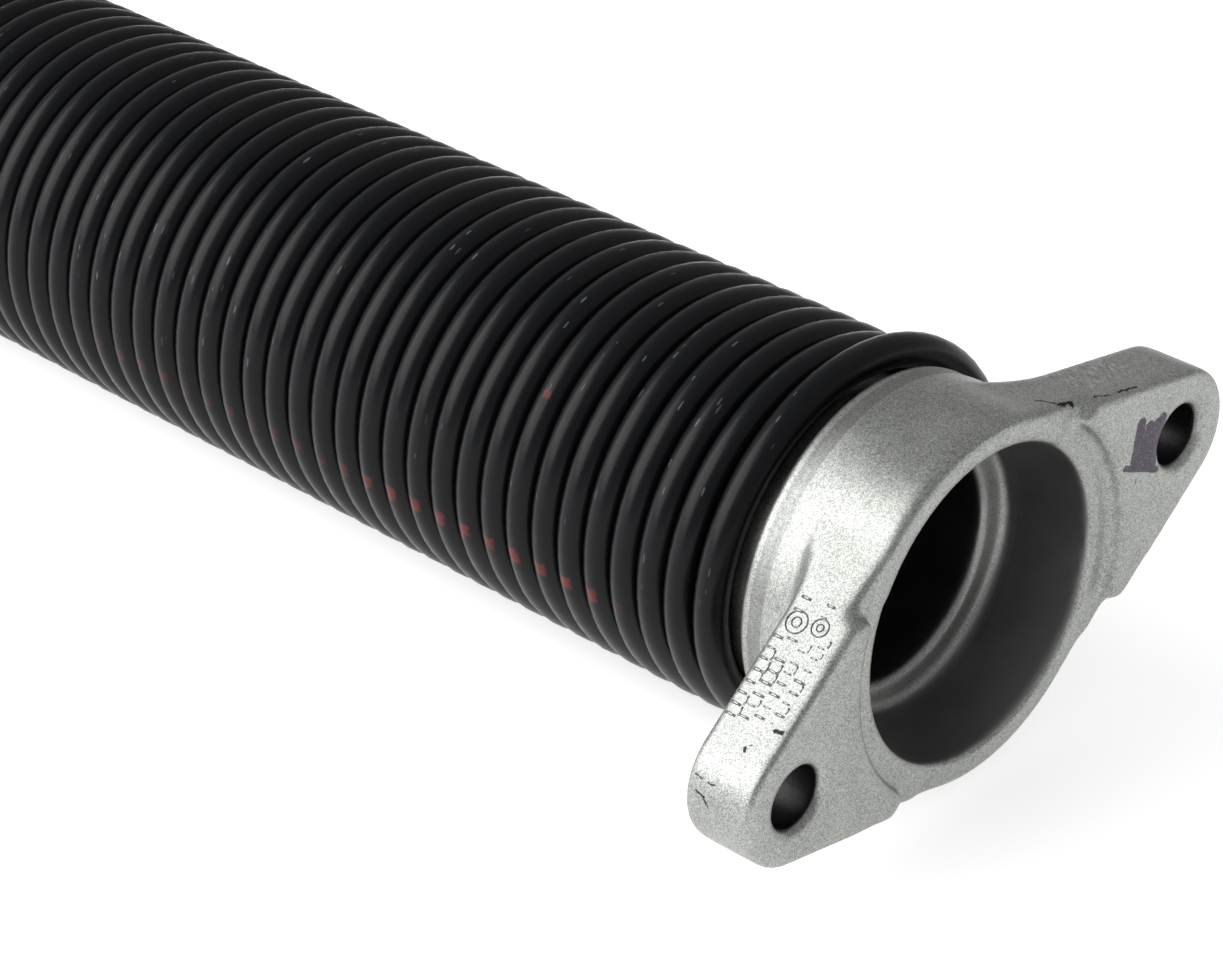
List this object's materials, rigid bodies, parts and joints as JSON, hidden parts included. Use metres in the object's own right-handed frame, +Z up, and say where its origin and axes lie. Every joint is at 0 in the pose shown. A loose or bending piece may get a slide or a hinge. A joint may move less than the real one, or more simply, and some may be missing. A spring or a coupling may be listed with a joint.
{
  "type": "garage door torsion spring",
  "caption": "Close-wound black steel torsion coil between a cast cone with two bolt ears and a cast winding cone with bar sockets and square-headed set screws.",
  "frame": {"origin": "on the spring's axis, in the plane of the two ear faces that bolt to the bracket", "axes": "+X along the spring, out of the bracket end; the coil and the winding cone lie towards -X; +Z up, with the right ear raised by 14.55 degrees"},
  "size_m": [0.619, 0.1064, 0.0631],
  "materials": {
    "coil_wire": "black oil-tempered wire, semi-gloss, lightly scuffed",
    "cast_aluminium": "shot-blasted die casting, fine sparkling grain",
    "screw_steel": "zinc plated"
  },
  "bodies": {
    "spring": {"spring_coil": "coil_wire", "stationary_cone": "cast_aluminium"},
    "winder": {"winding_cone": "cast_aluminium"},
    "screw_1": {"set_screw_1": "screw_steel"},
    "screw_2": {"set_screw_2": "screw_steel"}
  },
  "joints": [
    {"name": "wind", "type": "hinge", "parent": "spring", "child": "winder", "pos_m": [-0.5865, 0, 0], "axis": [1, 0, 0], "range_deg": [0, 2700], "stiffness_Nm_per_rad": 0.41, "deforming": ["spring_coil"]},
    {"name": "screw_1_travel", "type": "slide", "parent": "winder", "child": "screw_1", "axis": [0, 1, 0], "range_m": [-0.0008, 0.006]},
    {"name": "screw_2_travel", "type": "slide", "parent": "winder", "child": "screw_2", "axis": [0, -1, 0], "range_m": [-0.0008, 0.006]}
  ]
}
